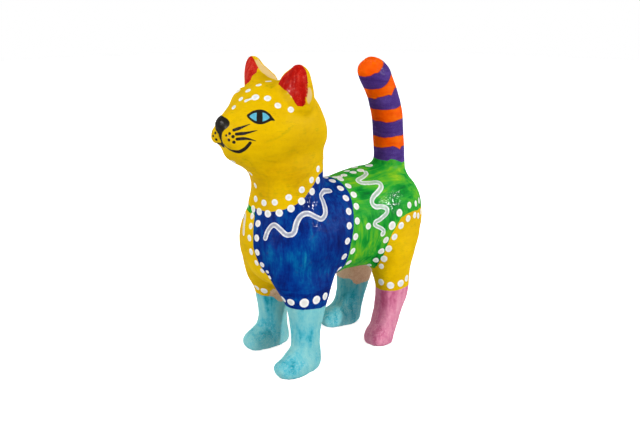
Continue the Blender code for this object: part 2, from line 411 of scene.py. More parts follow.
# The yellow of the right shoulder laps over the saddle's border.
SHOULDER_LAP = 1.5
SHOULDER_TOP = 105
# Angle round the hip from the tail, over the back, to the knee, against distance from the hip.
HIP = (64, 58.5)
THIGH = (
    (90, 105, 121, 131, 143, 150, 165, 176, 186, 200),
    (34.1, 36.9, 39.2, 37.5, 36, 34.3, 33.1, 34.2, 35.5, 36),
)
THIGH_FRONT = 22
THIGH_SIDE = 4
RUMP_Z = 92.5
# Under the knee, everything behind this y is the leg's.
KNEE_Z = 48
KNEE_Y = 15

# What lies in front of this y is a front leg.
LEGS_PARTED = 5
# Middle of the leg, height at the leg's front and at its back, and where along the leg it changes.
SOCKS = {
    "front_left": ((22.5, -31), 45.9, 44.7, (-9, 9)),
    "front_right": ((-21.5, -28), 39.8, 34.2, (-9, -1)),
    "hind_left": ((22.5, 43), 40, 41.5, (-9, 9)),
    "hind_right": ((-21.5, 43), 35.2, 30.6, (-9, -4)),
}

# Bare paper under the belly: between these heights, where the skin faces down more than this, and how
# fast its border falls away there.
BELLY = (44, 75)
BELLY_FACING = 0.93
BELLY_FADE = 18
# Bare paper inside the legs over the socks: side, front (-1) or hind (1), the outer edge's x and the top.
BARE_LEGS = ((-1, -1, -14.5, 45.5), (-1, 1, -25, 60), (1, -1, 15, 55))
BARE_FRONT = -38

# The tail's middle line as (y, z), and what is on the tail: near it, behind this y and over this z.
TAIL_LINE = (
    (58, 100), (58, 116), (58, 130), (57.3, 146), (54.6, 162), (49.6, 177), (42.5, 188.2), (36.8, 194),
    (33.3, 197.2), (29, 201),
)
TAIL_REACH = 17
TAIL_ROOT = (25, 115)
# Each border round the tail: the angle from its front, and how far up the tail. The paint ran at some.
TAIL_BORDERS = (
    ((0, 27.6), (22, 27.2), (44, 27.1), (59, 28.5), (76, 27.3), (105, 24.8), (180, 24.6)),
    ((0, 36.2), (20, 36.2), (44, 36.9), (66, 37.7), (84, 35.8), (94, 34), (104, 36), (180, 34.8)),
    ((0, 44.4), (35, 43.8), (57, 44.1), (77, 44.5), (110, 44), (180, 43.3)),
    ((0, 56.5), (16, 56.9), (30, 56.7), (48, 55.7), (79, 55.1), (97, 55.4), (180, 54.6)),
    ((0, 67.2), (17, 67.3), (41, 66.6), (62, 65.6), (90, 64.4), (128, 63.6), (180, 61.8)),
    ((0, 75.4), (21, 74.9), (36, 76.2), (75, 75.9), (86, 74.2), (94, 75.9), (113, 77.2), (180, 77)),
    ((0, 85.7), (13, 85.6), (41, 84.8), (61, 83.9), (81, 84.1), (99, 84.9), (120, 86), (180, 86)),
    ((0, 97.4), (32, 97.1), (49, 96.5), (66, 96.6), (80, 95.2), (131, 94.8), (180, 94.4)),
)


def collar_height(angle):
    return np.interp(np.abs(angle), *COLLAR)


def tail_place(p):
    """How far up the tail a point is, its angle round it from the front, and its distance from the line."""
    line = np.array(TAIL_LINE, float)
    flat = p[:, 1:]
    best = np.full(len(p), HUGE)
    up = np.zeros(len(p))
    front = np.zeros(len(p))
    run = 0.0
    for a, b in zip(line, line[1:]):
        length = np.linalg.norm(b - a)
        along = (b - a) / length
        t = np.clip((flat - a) @ along, 0, length)
        off = flat - a - t[:, None] * along
        away = np.linalg.norm(off, axis=1)
        better = away < best
        best[better] = away[better]
        up[better] = (run + t)[better]
        front[better] = (off @ np.array((-along[1], along[0])))[better]
        run += length
    angle = np.degrees(np.arctan2(np.abs(p[:, 0]), front))
    return up, angle, np.hypot(best, p[:, 0])


# Where a coat went on lighter or darker, with painted shade and a painted sheen among them: darker down
# the neck's front, a painted shadow down the right front leg, painted shade on the right hind leg and
# on the left hind leg's upper side, and a painted sheen on the right ear. Each is x, y, z, how far it
# reaches, how much lighter.
TONES_AND_SHADE = (
    (30.5, -45.5, 82, 5.5, 0.22), (34.3, -36.4, 87, 6, 0.1), (16.3, -57, 83, 6, 0.09),
    (35, -29, 89, 5, 0.07), (25, -51.6, 80, 6, 0.07), (34, -36, 74, 6, 0.08), (33, -34, 64, 7, 0.07),
    (33, -33.6, 60, 4, 0.07), (28.5, -47, 92, 5, -0.13), (23, -52, 94.5, 4, -0.1),
    (32, -17, 98, 10, -0.02), (26, -25, 112, 6, -0.03), (34.7, -20, 83, 5, -0.06),
    (33, -27, 54, 8, -0.1), (20, -54, 69, 7, -0.05), (12, -57, 100, 6, -0.06),
    (19, 49.5, 116, 4.5, 0.17), (14.6, 48.4, 119.5, 3.5, 0.12), (31.8, 9, 86, 5, 0.09),
    (30, 17, 78, 6, 0.06), (29.7, 4, 73.6, 5, 0.05), (16.8, 19.3, 117, 5, 0.08),
    (25.3, 57, 106, 5, 0.06), (29.5, 37, 84, 5, 0.05), (23.7, 49, 111, 5, -0.16),
    (29, 24.4, 100, 5, -0.12), (21.6, 15.4, 112.6, 4, -0.1), (29.7, 40.6, 98.8, 4, -0.12),
    (30.6, 34, 94, 4, -0.1), (-14, 36, 52, 9, 0.07), (24.3, 29.4, 63.4, 6, -0.14),
    (22.8, 24.7, 111.3, 4, -0.08), (28.3, 8, 104, 4, -0.07), (-12, 38, 20, 11, -0.15),
    (-13.5, -37, 36, 4, -0.12), (-15, -36.5, 27, 4.5, -0.14), (-15.5, -36, 18, 4.5, -0.12),
    (-13, -37, 9, 5, -0.14), (-17, -44, 11, 5, -0.07), (-20.5, -40.5, 33, 3.5, 0.12),
    (-20.5, -40, 25, 3.5, 0.1), (-15.6, 18.8, 9.8, 4, -0.1), (-10.7, 35.8, 2.7, 4, -0.12),
    (33, 39, 24, 4, 0.06), (33, 36.4, 12, 4, 0.1), (-7.6, -57.9, 97, 5, 0.12), (-1.5, -56, 65, 6, 0.16),
    (-12, -36, 42, 5, -0.14), (-21, -43, 196, 6, 0.1), (31, 35, 34, 6, -0.16), (18, 39.5, 117, 5, 0.1),
    (31, 11, 83, 5, -0.14), (-12.8, 19.7, 7.7, 6, -0.03), (30, -40, 26, 6, -0.14),
    (32.2, -50.9, 8.7, 5, -0.13), (20, -47, 138, 11, -0.12), (15, -55, 134, 8, -0.07),
    (24, -38, 158, 12, -0.04), (-18, -50, 62, 9, 0.1), (22, -34, 130, 8, -0.05),
    (22, -56, 176, 6, 0.04), (34, -31, 40, 7, 0.05), (30.5, -53.6, 9, 7, -0.02),
    (31.4, 31, 12, 7, -0.12), (33, 41, 32, 7, 0.08), (26.4, 32, 30, 5, -0.05),
)

# Where the varnish stands in beads, on both sides: x, y, z, how far it reaches.
VARNISH = (
    (25, -30.4, 114.1, 4), (27, -32.9, 107.7, 4), (30.6, -31.7, 102.4, 3), (33, -35.4, 95.2, 1.2),
    (27, 35.6, 105.4, 6), (27.6, 28.9, 103.9, 4), (25.6, 41.3, 108.3, 4), (9.8, 51, 124.8, 3.5),
    (5.6, 36.5, 196.7, 3.5), (9.2, 38.8, 191.5, 3), (27.5, -44.2, 186.6, 3.5), (23.5, -45.7, 191.1, 3),
)


def varnish_of(p):
    """How thick the varnish stands at each point, 0 to 1."""
    left = p.copy()
    left[:, 0] = np.abs(left[:, 0])
    return np.max([bump_at(left, place, reach) for *place, reach in VARNISH], axis=0)


def tone_and_shade_of(p):
    """How much lighter or darker the coat is at each point, painted shade and sheen included."""
    tone_and_shade = np.zeros(len(p))
    for *place, reach, amount in TONES_AND_SHADE:
        tone_and_shade += amount * bump_at(p, place, reach)
    return tone_and_shade


def zone_fields(p, normals):
    """The borders of the large painted areas."""
    x, y, z = p.T
    # The tone field also carries painted shade and a painted sheen.
    fields = {"tone_and_shade": tone_and_shade_of(p), "varnish": varnish_of(p)}
    round_neck = np.degrees(np.arctan2(x, NECK_Y - y))
    behind = (y > HEAD_BACK) | ((y > NAPE_Y) & (z < NAPE_Z))
    fields["head"] = only(~behind, (z - collar_height(round_neck)) * COLLAR_LEAN)

    round_trunk = np.degrees(np.arctan2(z - TRUNK_Z, np.abs(x)))
    saddle = np.interp(round_trunk, *SADDLE) - y
    chest = x - np.interp(z, *CHEST)
    back = step_between(*CHEST_FADE, y)
    front = chest * (1 - back) + np.where(z > TRUNK_Z, x + SPINE_LAP, chest) * back
    fields["blue"] = np.minimum(saddle, front)
    fields["shoulder"] = np.minimum.reduce([saddle + SHOULDER_LAP, -front, SHOULDER_TOP - z])

    hip_y, hip_z = HIP
    round_hip = np.degrees(np.arctan2(z - hip_z, hip_y - y))
    round_hip = np.where(round_hip < -90, round_hip + 360, round_hip)
    reach = np.interp(180 - round_hip, *THIGH)
    thigh = np.where(y > hip_y, RUMP_Z - z, reach - np.hypot(y - hip_y, z - hip_z))
    thigh = np.maximum(np.minimum(thigh, y - THIGH_FRONT), only(y > KNEE_Y, KNEE_Z - z))
    fields["thigh_left"] = np.minimum(thigh, x - THIGH_SIDE)
    fields["thigh_right"] = np.minimum(thigh, -x - THIGH_SIDE)

    for name, ((leg_x, leg_y), front_z, back_z, change) in SOCKS.items():
        top = front_z + (back_z - front_z) * step_between(*change, y - leg_y)
        mine = (np.sign(x) == np.sign(leg_x)) & ((y < LEGS_PARTED) == (leg_y < LEGS_PARTED))
        fields["sock_" + name] = only(mine, top - z)

    low, high = BELLY
    bare = only((z > low) & (z < high), (-normals[:, 2] - BELLY_FACING) * BELLY_FADE)
    for side, end, edge, top in BARE_LEGS:
        mine = (x * side >= 0) & ((y - LEGS_PARTED) * end >= 0)
        inner = np.minimum.reduce([(edge - x) * side, y - BARE_FRONT, top - z])
        bare = np.maximum(bare, only(mine, inner))
    fields["bare"] = bare

    up, angle, off = tail_place(p)
    root, *rings = (up - np.interp(angle, *zip(*border)) for border in TAIL_BORDERS)
    on_tail = (off < TAIL_REACH) & (y > TAIL_ROOT[0]) & (z > TAIL_ROOT[1])
    fields["tail"] = only(on_tail, root)
    nearest = np.min(np.abs(rings), axis=0)
    orange = (np.array(rings) > 0).sum(0) % 2 == 1
    fields["band"] = np.where(orange, nearest, -nearest)
    return fields


# ---------------------------------------------------------------- dots and waves of white

# Angle round the neck and height over the collar. The dots over it are smaller than those under it.
COLLAR_DOTS = (
    [(a, 5.6) for a in (-116, -96, -76, -56, -34)]
    + [(-0.5, 6.4), (17.5, 5.4), (35.5, 5.8), (56, 6.6), (77, 6.2), (96, 4.6), (114, 4.8), (141, 4.8),
       (163, 4.6)]
    + [(a, -1.6) for a in (-148, -126, -104, -82, -58, -31)]
    + [(-5.5, -0.9), (9, -1.1), (24.7, -1.5), (42.5, -1.5), (59, -1), (75.5, -0.6), (96, -3),
       (112.5, -2.2), (153, -2), (178, -2)]
)
UPPER_COLLAR_DOT = 2.1
LOWER_COLLAR_DOT = 2.4
NECK_REACH = 42
# x, z and radius on the chest, each side of the border, and then up the throat.
CHEST_Y = -30
CHEST_DOTS = (
    (-2.9, 104, 2.2), (-1.2, 98, 2.1), (-1.2, 90, 2.2), (0.4, 81, 2.2), (5.2, 74.5, 2),
    (9.1, 69.8, 1.8), (14.2, 66.2, 1.5), (5, 101, 2.3), (6.4, 92, 2.3), (7.4, 82.5, 2.2),
    (10.7, 74.8, 1.8), (13.6, 70.2, 1.2), (0, 125, 1.9), (2.2, 134.2, 1.9), (0, 143, 1.9),
)
# Angle round the trunk and distance behind the border.
SADDLE_DOTS = (
    [(a, -4.2) for a in (85, 74, 60, 46, 30, 14, -3, -22, -43)]
    + [(a, 3.2) for a in (82, 74.5, 61.5, 48.5, 34, 17, -1, -19, -37)]
)
SADDLE_DOT = 2.4
# Angle round the hip, distance out from the border, and radius.
HIP_X = 12
THIGH_DOTS = (
    (94, 4.9, 2.2), (105.5, 5.2, 2.3), (120, 4, 2.7), (134, 4, 3.1), (149, 3.5, 2.5), (162, 2.8, 2.4),
    (174, 2.1, 2.1), (184, 1.2, 2.2), (90, -4, 2.2), (100, -3.3, 2.3), (113, -3.6, 2.4),
    (126, -3.8, 2.5), (141, -3.5, 2.4), (157, -1.8, 2.4), (171, -1.2, 2.3), (181, -1.6, 1.9),
)
# x and z on the rump.
RUMP_Y = 60
RUMP_DOTS = ((22, 98), (14, 98.2), (22, 89.5), (14, 89.4))
RUMP_DOT = 2.2
# For each leg, the angle from its front to its outer side, the height, and the radius.
LEG_REACH = 30
SOCK_DOTS = {
    "front_left": ((-6, 51.6, 2.5), (15, 51, 2.6), (47, 50.8, 3.1), (86, 51.4, 2.9), (122, 51.8, 2.6),
                   (155, 51.5, 2.5)),
    "front_right": ((-10, 45.7, 2.2), (-31, 44.3, 2.5), (12, 46, 2.4), (42, 46, 2.5), (75, 46, 2.5),
                    (110, 45.6, 2.4)),
    "hind_left": ((14, 45.8, 2.4), (48, 44.3, 2.6), (84, 45.3, 2.6), (112, 47.5, 2.4), (145, 47, 2.4)),
    "hind_right": ((20, 38.5, 2.4), (52, 38, 2.5), (86, 37.5, 2.5), (118, 37, 2.4)),
}
# x, y, z and radius, on the brow and at the knee, on both sides.
PAIRED_DOTS = (
    (10.3, -60.2, 184.1, 2.4), (15.8, -54.9, 183.7, 2.2), (21.7, -51.4, 179.6, 2.05),
    (25.5, -44.5, 176.9, 1.9), (15.5, 31, 53, 1.6), (17.3, 27.5, 58.2, 1.7),
)
# x, y, z and radius, over the crown, beside the green wave and at its foot.
SINGLE_DOTS = (
    (-8.3, -60.3, 184.8, 1.8), (0.8, -70, 177.6, 1.6), (1.9, -65.5, 182.4, 1.6),
    (1.2, -59.5, 186.7, 1.8), (1.7, -52, 189.6, 1.9), (0, -43.5, 190.9, 2), (-0.5, -35.5, 190.6, 1.7),
    (31, 14, 92, 2.3), (30.5, 27.5, 84, 2.3),
)
# x, y and radius, seen from over the spine.
SPINE_Z = 100
SPINE_DOTS = (
    (4.5, 14, 2.3), (3.3, 23, 2.4), (3.3, 29.5, 2.5), (-0.7, 40.5, 2.8), (-1.9, 21.5, 2.2),
    (-5, 31, 2.4), (5.5, 9.7, 2),
)

BLUE_WAVE = (
    (13.5, -57, 93.5), (14.5, -55, 99), (16.5, -52, 102), (21, -50.5, 100), (24, -49, 97.5),
    (26, -47.5, 97), (27.5, -44.5, 98.5), (26, -41, 104.5), (25.5, -37, 108), (26.5, -32.5, 108.5),
    (29, -28, 106), (30.5, -25, 104.5), (29.5, -21.5, 106), (27.5, -19.5, 109), (24, -18.5, 113.5),
    (22, -18.5, 117.5), (19, -14, 118.5), (17.5, -8.5, 117.5),
)
GREEN_WAVE = (
    (7, 31, 122), (9.5, 29.5, 121), (11.5, 24.5, 120), (13, 19.5, 119), (15.5, 20, 118),
    (17, 25.5, 117), (17.5, 31.5, 116.5), (19, 34, 115.5), (21.5, 33, 113.5), (23, 28.5, 111),
    (24, 24.5, 109.5), (25.5, 21.5, 107.5), (27, 21, 105), (28, 23.5, 103), (28, 27.5, 102.5),
    (29, 31.5, 101), (29.5, 32, 99), (30, 30.5, 97), (30.5, 24.5, 94.5), (30.5, 20.5, 93.5),
    (31, 20, 91.5), (31, 25, 88.5), (31, 28, 86), (30.5, 27.5, 84),
)
RIGHT_WAVE = (
    (-10, -60, 91), (-12, -58, 97), (-15, -55, 101), (-20, -51, 99), (-24, -48, 93), (-28, -43, 91),
    (-30, -37, 95), (-31, -31, 100), (-31.5, -26, 99), (-32.5, -22, 93), (-33, -17, 91),
)
RIGHT_FLANK_WAVE = (
    (-24, 12, 109), (-26, 16, 106), (-29, 18, 101), (-30, 15, 97), (-30.5, 12, 93), (-31, 15, 88),
    (-30.5, 19, 84),
)
WAVES = (
    (BLUE_WAVE, (1.7, 1.6, 1.7, 1.8, 1.7, 1.6, 1.8, 1.9)),
    (GREEN_WAVE, (1.4, 1.8, 1.7, 1.8, 1.7, 1.7, 1.6, 1.3, 1.3)),
    (RIGHT_WAVE, (1.7, 2, 2, 1.8)),
    (RIGHT_FLANK_WAVE, (1.7, 2, 1.8)),
)
BROW_SMEAR = ((6.8, -64.8, 181.9), (8.2, -63.3, 182.7), (9.6, -61.6, 183.6))

# Fine creases and stray brush lines round the neck. They are pressed into the skin, and painted shade
# darkens the yellow along them.
CREASES = (
    ((17.8, -15, 139.6), (23.2, -28.8, 138.7), (22.8, -40.8, 137.1), (20.8, -46.8, 136)),
    ((11.3, -73.2, 148.6), (13.4, -67.8, 145.4), (9.9, -60, 136.6), (13.2, -56.6, 135.1),
     (13.2, -53.7, 130.6), (11.4, -52.4, 124.1), (10.3, -52.5, 119.5)),
    ((24.7, -47.9, 150.4), (25.6, -42.6, 151.4), (23.7, -36.9, 147.4)),
    ((20.7, -20.2, 139.6), (22.6, -25.8, 136.3), (22.5, -38.1, 128.2), (20.1, -44, 127.1)),
    ((18, -63.2, 146.9), (20.9, -49, 143.4)),
    ((22.4, -64, 158.2), (26.4, -55, 160.9), (28.1, -44.2, 167.7)),
    ((-13, -60, 132), (-17, -48, 128), (-20, -36, 130), (-21, -26, 137)),
    ((-22, -58, 150), (-25, -47, 146), (-24, -34, 148)),
)


def crease_field(skin, points):
    creases = Layer(skin, points)
    for crease in CREASES:
        creases.stroke(crease, (0.1, 0.45, 0.5, 0.4, 0.1))
    return creases.inside


def heading(angle):
    """A level direction, this many degrees from the front towards the left."""
    turn = math.radians(angle)
    return (math.sin(turn), -math.cos(turn), 0)


def white_marks(skin, points):
    """The layer of all white paint, and the field of its waves alone."""
    white = Layer(skin, points)
    for angle, over in COLLAR_DOTS:
        radius = UPPER_COLLAR_DOT if over > 0 else LOWER_COLLAR_DOT
        white.dot((0, NECK_Y, collar_height(angle) + over), radius, heading(angle), NECK_REACH)
    for x, z, radius in CHEST_DOTS:
        white.dot((x, CHEST_Y, z), radius, (0, -1, 0))
    for side in (1, -1):
        for angle, behind in SADDLE_DOTS:
            turn = math.radians(angle)
            y = np.interp(angle, *SADDLE) + behind
            white.dot((0, y, TRUNK_Z), SADDLE_DOT, (side * math.cos(turn), 0, math.sin(turn)))
        for angle, out, radius in THIGH_DOTS:
            turn = math.radians(angle)
            reach = np.interp(angle, *THIGH) + out
            y, z = HIP[0] + reach * math.cos(turn), HIP[1] + reach * math.sin(turn)
            white.dot((side * HIP_X, y, z), radius, (side, 0, 0))
        for x, z in RUMP_DOTS:
            white.dot((side * x, RUMP_Y, z), RUMP_DOT, (0, 1, 0))
        for x, y, z, radius in PAIRED_DOTS:
            white.dot((side * x, y, z), radius)
    for leg, dots in SOCK_DOTS.items():
        leg_x, leg_y = SOCKS[leg][0]
        for angle, z, radius in dots:
            white.dot((leg_x, leg_y, z), radius, heading(math.copysign(angle, angle * leg_x)), LEG_REACH)
    for *place, radius in SINGLE_DOTS:
        white.dot(place, radius)
    for x, y, radius in SPINE_DOTS:
        white.dot((x, y, SPINE_Z), radius, (0, 0, 1))
    ribbon = Layer(skin, points)
    for line, widths in WAVES:
        white.stroke(line, widths)
        ribbon.stroke(line, widths)
    white.stroke(BROW_SMEAR, (1.2, 0.7, 0.6, 0.9))
    return white, ribbon.inside


# ---------------------------------------------------------------- the face and the ears

# The eye's outline, the iris and the pupil, on the left side.
EYE_OUTLINE = (
    (13.5, -68.6, 173.9), (14.1, -66.4, 176.1), (15.9, -63.9, 177.4), (17.8, -61.5, 177.8),
    (19.8, -59.3, 177.1), (22.1, -57.6, 175.3), (23.6, -56.7, 173.2), (24.8, -55.8, 171.3),
    (23.9, -57.8, 171.4), (22.9, -60.6, 170.3), (21.5, -63.3, 169.5), (19.6, -65.7, 169.8),
    (17.4, -67.4, 171),
)
IRIS_OUTLINE = (
    (14.9, -67.6, 173.8), (15.5, -66.1, 175.2), (16.7, -64.2, 176), (18.4, -62, 176.3),
    (20.3, -59.9, 175.7), (21.9, -58.7, 174.3), (22.7, -58.4, 173), (22.3, -60.2, 171.9),
    (21.5, -62.3, 171.2), (20.3, -64.2, 170.9), (18.7, -65.8, 171.4), (16.8, -66.9, 172.5),
)
PUPIL = ((18.2, -62.5, 176.6), (19.4, -63.3, 173.5), (20.5, -64.1, 170.4))
# Which way across an eye is, and how far from its middle it can reach.
EYE_ACROSS = (0.5, 0.86)
EYE_REACH = 16
# The right eye sits a little farther out, and higher, than the left one's mirror image.
RIGHT_EYE_SHIFT = np.array((-1.8, 0, 0.4))

# The nose as (x, z), down its left side from the middle of its top to the middle of its foot.
NOSE_SIDE = (
    (0, 173.2), (2.4, 172.9), (4.7, 171.8), (6.6, 170), (7.2, 168.2), (6.3, 166.4), (4.5, 164.7),
    (2.9, 163), (1.7, 161.6), (0, 160.9),
)
NOSE_BACK = -72
SMILE = (
    (2.2, -78.9, 155.3), (5.6, -78.4, 154.1), (8, -77.3, 152.8), (10.3, -76, 152.5),
    (12.6, -74.4, 152.5), (14.7, -73, 153.6), (16.7, -71.5, 155.5), (18.5, -69.9, 158.4),
)
WHISKERS = (
    ((10.6, -76.3, 165.7), (13.6, -72.8, 167.4), (16.9, -68.6, 169.5)),
    ((12.4, -75.7, 163.5), (16.7, -71.3, 164.4), (20.7, -66.1, 166)),
    ((13.1, -75.7, 160.6), (17, -71.6, 161), (20.6, -67.2, 159.7)),
)
PHILTRUM = ((0.2, -79.5, 162.8), (0, -79.1, 160), (0.6, -79.1, 157.8), (0.8, -78.9, 155.5))
HOOK = ((-0.5, -78.8, 154.3), (-2.4, -79, 154.7), (-4.3, -79.1, 155.9))
# x, y, z and radius: the freckles of the left side, of the right side, and the dab under the philtrum.
FACE_DOTS = (
    (7.9, -80.2, 162.5, 0.8), (9.5, -78.7, 163.7, 0.95), (11.6, -77.6, 162.1, 1.05),
    (9.9, -79.6, 160, 1.0), (11.9, -77.3, 158.7, 1.1), (-4.2, -80.4, 162, 0.95),
    (-5.8, -80.7, 159.9, 0.9), (-3.7, -80.2, 158, 0.95), (-8, -79.5, 161.5, 0.9),
    (-9.5, -78.5, 159.5, 0.9), (0.2, -78.8, 154.7, 1.9),
)

# Each ear's red front as (x, z). It ends at these, and the right ear's ends on the ear's front face.
LEFT_EAR = (
    (12.8, 190.8), (16.3, 196.8), (20.5, 200.8), (24, 206.5), (28.4, 205.2), (30.6, 201.2), (31.6, 198),
    (32, 194.3), (32, 190.5), (32.1, 185.8), (31.3, 179.8), (30.4, 179), (28.9, 179.2), (28.1, 182.1),
    (26.7, 185.1), (23.6, 188), (17.1, 190.4),
)
RIGHT_EAR = (
    (-23, 185.5), (-27.5, 194), (-28, 200.5), (-24, 205.5), (-21.3, 203.6), (-19.2, 202),
    (-17.2, 199.7), (-15.2, 197.2), (-13.8, 194.6), (-14.8, 193.5), (-15.6, 192.4), (-16, 190.2),
    (-17.4, 188.4), (-20, 187),
)
EAR_ROOT = 176
EAR_BACK = -35.5
RIGHT_EAR_BACK = -39.6
RIGHT_EAR_TOP = 203
RIGHT_EAR_LEAN = 0.2
# A pale beige strip behind the red, at the left ear's outer edge and along the right ear's inner slope.
LEFT_EAR_GAP = ((32.1, -35.7, 190), (32.1, -35.2, 185.6), (31.9, -35.3, 180.5))
RIGHT_EAR_GAPS = (
    ((-19, -37.2, 203), (-16.3, -37, 200.2), (-13.2, -36.4, 196.9), (-10.6, -34.6, 194),
     (-8, -31.5, 191.8)),
    ((-20.2, -35.6, 202), (-18, -35.5, 199.5), (-15.2, -34.8, 196.2), (-12.3, -33, 193.3),
     (-9.5, -30.3, 191.3)),
)


def eye_places(places, side):
    """Places of the left eye, or of the right one where the side is -1."""
    return np.array(places) * (side, 1, 1) + (RIGHT_EYE_SHIFT if side < 0 else 0)


def eye_field(points, outline, side):
    corners = eye_places(outline, side)
    middle = corners.mean(0)
    across = np.array((EYE_ACROSS[0] * side, EYE_ACROSS[1], 0))
    across /= np.linalg.norm(across)

    def flat(places):
        return np.stack([(places - middle) @ across, places[:, 2] - middle[2]], 1)

    field = inside_polygon(flat(points), smooth_loop(flat(corners)))
    return only(np.linalg.norm(points - middle, axis=1) < EYE_REACH, field)


def face_fields(skin, points):
    x, y, z = points.T
    front = points[:, [0, 2]]
    black = Layer(skin, points)
    iris = np.full(len(points), FAR_AWAY)
    for side in (1, -1):
        black.cover(eye_field(points, EYE_OUTLINE, side))
        iris = np.maximum(iris, eye_field(points, IRIS_OUTLINE, side))
        pupil = Layer(skin, points)
        pupil.stroke(eye_places(PUPIL, side), (1.7, 1.9, 1.7))
        iris = np.minimum(iris, -pupil.inside)
        for whisker in WHISKERS:
            black.stroke(np.array(whisker) * (side, 1, 1), (0.95, 1.0, 0.6, 0.2))
        black.stroke(np.array(SMILE) * (side, 1, 1), (0.7, 0.5, 0.6, 1.0, 1.15, 1.15, 1.05, 1.0))
    for *place, radius in FACE_DOTS:
        black.dot(place, radius)
    nose = NOSE_SIDE + tuple((-nx, nz) for nx, nz in NOSE_SIDE[-2:0:-1])
    black.cover(only(y < NOSE_BACK, inside_polygon(front, smooth_loop(nose))))
    black.stroke(PHILTRUM, (2.1, 1.4, 1.1, 1.2))
    black.stroke(HOOK, (1.5, 0.9, 0.4))

    on_front = RIGHT_EAR_BACK - RIGHT_EAR_LEAN * np.maximum(RIGHT_EAR_TOP - z, 0) - y
    red = np.where(x > 0, inside_polygon(front, LEFT_EAR),
                   np.minimum(inside_polygon(front, RIGHT_EAR), on_front))
    gap = Layer(skin, points)
    gap.stroke(LEFT_EAR_GAP, (0.6, 2.0, 2.6, 1.9, 0.5))
    for line in RIGHT_EAR_GAPS:
        gap.stroke(line, (1.2, 2.6, 3.2, 2.7, 1.2))
    ear = only((x != 0) & (z > EAR_ROOT) & (y < EAR_BACK), red)
    return {"black": black.inside, "iris": iris, "ear": ear, "gap": gap.inside}


# ---------------------------------------------------------------- material

# Each paint from its darkest strokes to its lightest: where it is on the ramp, and then red, green and
# blue as the eye reads them, 0 to 255. A dab is a dot's white, and wash the thinner white of the waves.
PAINTS = {
    "paper": ((0.2, 150, 124, 92), (0.34, 204, 166, 134), (0.46, 222, 188, 156), (0.56, 232, 202, 172),
              (0.68, 240, 214, 188)),
    "green": ((0.28, 4, 102, 40), (0.38, 6, 138, 42), (0.46, 34, 162, 48), (0.54, 76, 176, 46),
              (0.62, 106, 188, 34), (0.78, 186, 212, 40)),
    "blue": ((0.28, 4, 22, 92), (0.41, 2, 38, 120), (0.49, 0, 52, 136), (0.57, 0, 68, 146),
             (0.67, 0, 94, 160), (0.82, 22, 134, 172)),
    "yellow": ((0.20, 186, 140, 0), (0.34, 216, 168, 0), (0.46, 227, 182, 0), (0.56, 233, 189, 0),
               (0.70, 241, 199, 0)),
    "teal": ((0.14, 4, 112, 132), (0.26, 22, 148, 168), (0.36, 80, 182, 200), (0.46, 118, 198, 206),
             (0.56, 138, 206, 208), (0.70, 176, 220, 217)),
    "pink": ((0.30, 188, 84, 122), (0.42, 212, 118, 152), (0.52, 226, 140, 168), (0.60, 234, 158, 182),
             (0.74, 244, 186, 202)),
    "purple": ((0.34, 60, 36, 108), (0.5, 78, 52, 132), (0.64, 100, 76, 158)),
    "orange": ((0.34, 236, 74, 0), (0.5, 250, 94, 0), (0.64, 254, 116, 4)),
    "red": ((0.36, 160, 8, 4), (0.5, 188, 20, 10), (0.64, 212, 60, 46), (0.8, 226, 104, 92)),
    "black": ((0.3, 20, 17, 15), (0.6, 38, 33, 28)),
    "iris": ((0.35, 78, 166, 196), (0.65, 112, 196, 220)),
    "dab": ((0.0, 226, 224, 219), (0.5, 234, 232, 227), (0.8, 248, 247, 244)),
    "wash": ((0.36, 204, 208, 211), (0.6, 221, 224, 227), (0.84, 242, 244, 245)),
}


def srgb(*values):
    """A colour as the eye reads it, 0 to 255, for a shader."""
    linear = []
    for v in values:
        c = v / 255
        linear.append(c / 12.92 if c < 0.04045 else ((c + 0.055) / 1.055) ** 2.4)
    return tuple(linear) + (1,)


